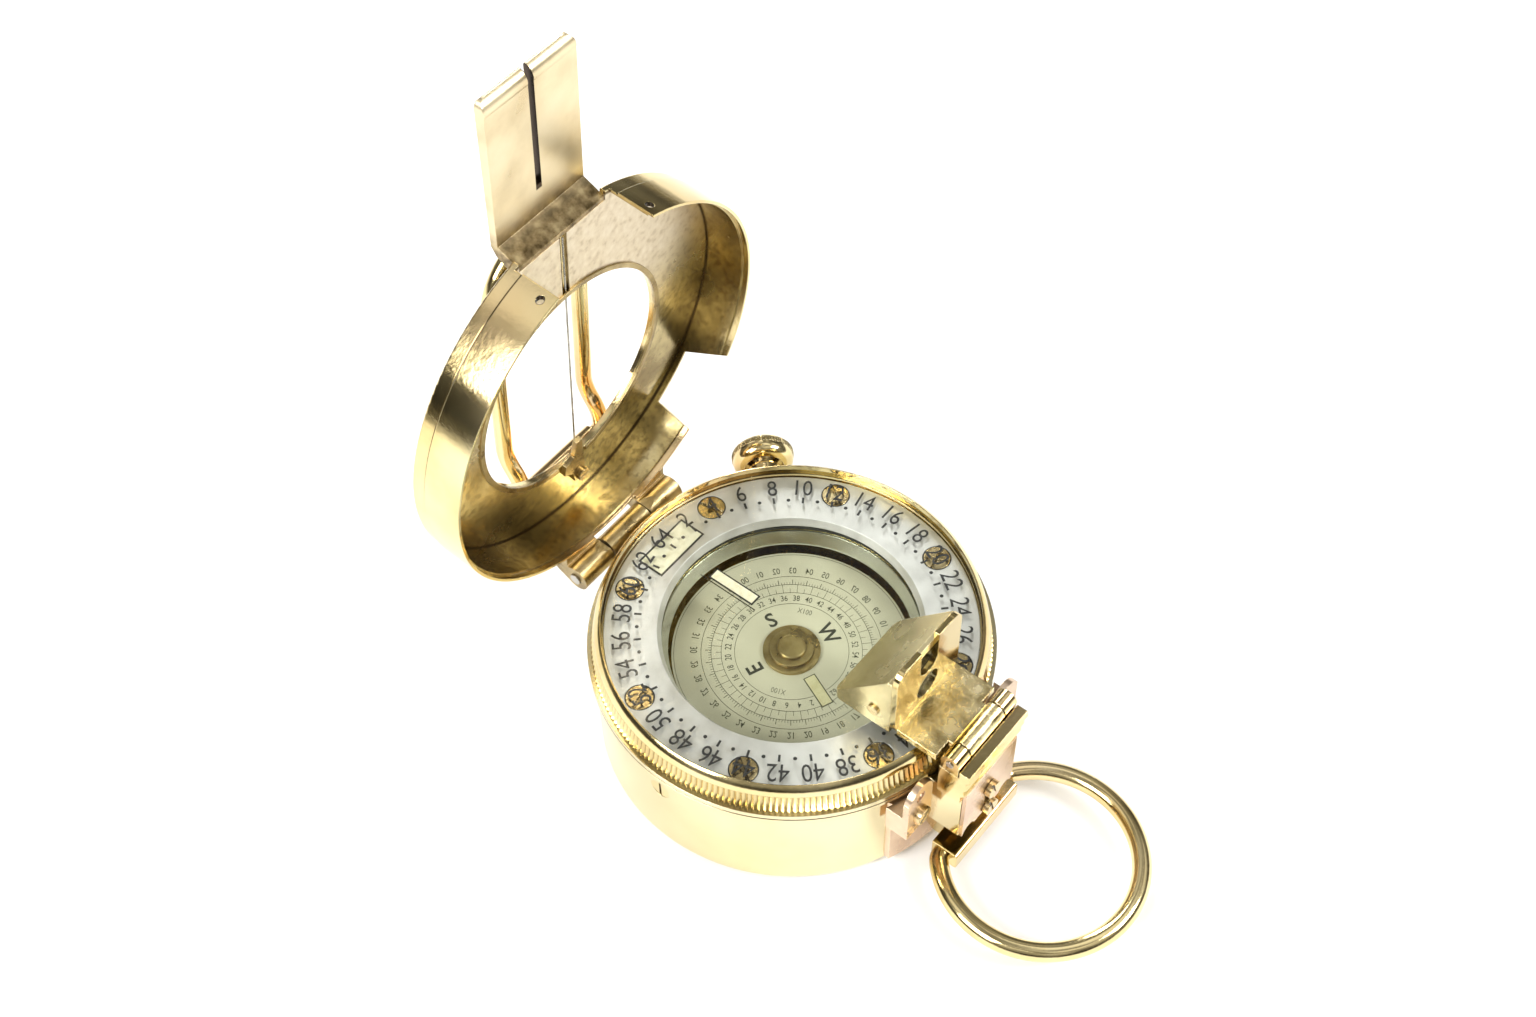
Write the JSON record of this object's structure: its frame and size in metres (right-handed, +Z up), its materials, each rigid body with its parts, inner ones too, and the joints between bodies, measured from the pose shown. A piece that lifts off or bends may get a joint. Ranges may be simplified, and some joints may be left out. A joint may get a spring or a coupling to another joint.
{
  "type": "sighting compass",
  "caption": "Hinged-lid brass sighting compass with rotating knurled bezel, floating card, folding prism sight and finger ring.",
  "frame": {"origin": "centre of the flat base, where the case rests", "axes": "+Z up along the case axis, +Y towards the lid hinge, -Y towards the prism and the finger ring"},
  "size_m": [0.0627, 0.1097, 0.1073],
  "materials": {
    "brass_polished": "polished",
    "brass_satin": "satin",
    "gilding_metal": "polished",
    "silvered": "brushed",
    "glass": "clear",
    "card_pearl": "pearly",
    "luminous_paint": "matte",
    "steel": "bright",
    "rubber": "matte",
    "jewel": "polished"
  },
  "bodies": {
    "case": {"case_body": "brass_polished", "case_base": "brass_polished", "filler_plug": "brass_polished", "capsule_bowl": "brass_satin", "capsule_gasket": "rubber", "capsule_inner_ring": "silvered", "capsule_glass": "glass", "expansion_diaphragm": "brass_satin", "pivot_post": "steel", "silvered_ring": "silvered", "ring_screws": "brass_polished", "luminous_patch": "luminous_paint", "clamp_boss": "brass_polished", "case_knuckle": "brass_polished", "hinge_pin": "steel", "saddle": "brass_satin", "ear_brackets": "gilding_metal", "ear_screws": "brass_polished", "guide_block": "brass_satin", "slide_screws": "brass_polished", "ring_bar": "brass_polished"},
    "bezel": {"bezel_ring": "brass_polished", "bezel_knurl": "brass_polished", "bezel_glass": "glass", "glass_retainer": "brass_polished", "bezel_spring_ring": "steel", "bezel_luminous_strip": "luminous_paint"},
    "card": {"compass_card": "card_pearl", "card_hub": "brass_polished", "jewel_bearing": "jewel", "bar_magnets": "steel", "card_pointer": "luminous_paint"},
    "clamp_screw": {"clamp_knob": "brass_polished", "clamp_shank": "brass_polished", "clamp_pad": "brass_polished"},
    "lid": {"lid_shell": "brass_polished", "window_rim": "brass_polished", "sight_tongue": "brass_polished", "lid_knuckles": "brass_satin", "sighting_wire": "steel", "wire_anchor": "brass_polished", "wire_screw": "brass_polished", "bail_tube": "brass_polished"},
    "lid_loop": {"lid_bail": "brass_polished"},
    "prism_slide": {"focus_slide": "brass_polished", "slide_plate": "gilding_metal", "prism_pin": "steel"},
    "prism_fold": {"prism_leaf": "brass_polished", "prism_glass": "glass", "prism_housing": "brass_satin", "eye_plate": "brass_polished", "eye_lens": "glass", "housing_screws": "brass_polished"},
    "thumb_ring": {"finger_ring": "brass_polished"}
  },
  "joints": [
    {"name": "lid_hinge", "type": "hinge", "parent": "case", "child": "lid", "pos_m": [0, 0.0326, 0.0188], "axis": [1, 0, 0], "range_deg": [-90, 66]},
    {"name": "lid_loop_hinge", "type": "hinge", "parent": "lid", "child": "lid_loop", "pos_m": [0, 0.04443, 0.02648], "axis": [-1, 0, 0], "range_deg": [0, 100]},
    {"name": "bezel_turn", "type": "hinge", "parent": "case", "child": "bezel", "pos_m": [0, 0, 0.0225], "axis": [0, 0, 1], "continuous": true},
    {"name": "card_swing", "type": "hinge", "parent": "case", "child": "card", "pos_m": [0, 0, 0.0164], "axis": [0, 0, 1], "continuous": true},
    {"name": "clamp_turn", "type": "hinge", "parent": "case", "child": "clamp_screw", "pos_m": [0.02121, 0.02121, 0.0135], "axis": [0.7071, 0.7071, 0], "range_deg": [0, 270]},
    {"name": "prism_focus", "type": "slide", "parent": "case", "child": "prism_slide", "axis": [0, 0, 1], "range_m": [0, 0.003]},
    {"name": "prism_hinge", "type": "hinge", "parent": "prism_slide", "child": "prism_fold", "pos_m": [0, -0.033, 0.0274], "axis": [1, 0, 0], "range_deg": [0, 180]},
    {"name": "ring_swing", "type": "hinge", "parent": "case", "child": "thumb_ring", "pos_m": [0, -0.0338, 0.0037], "axis": [1, 0, 0], "range_deg": [-45, 95]}
  ]
}
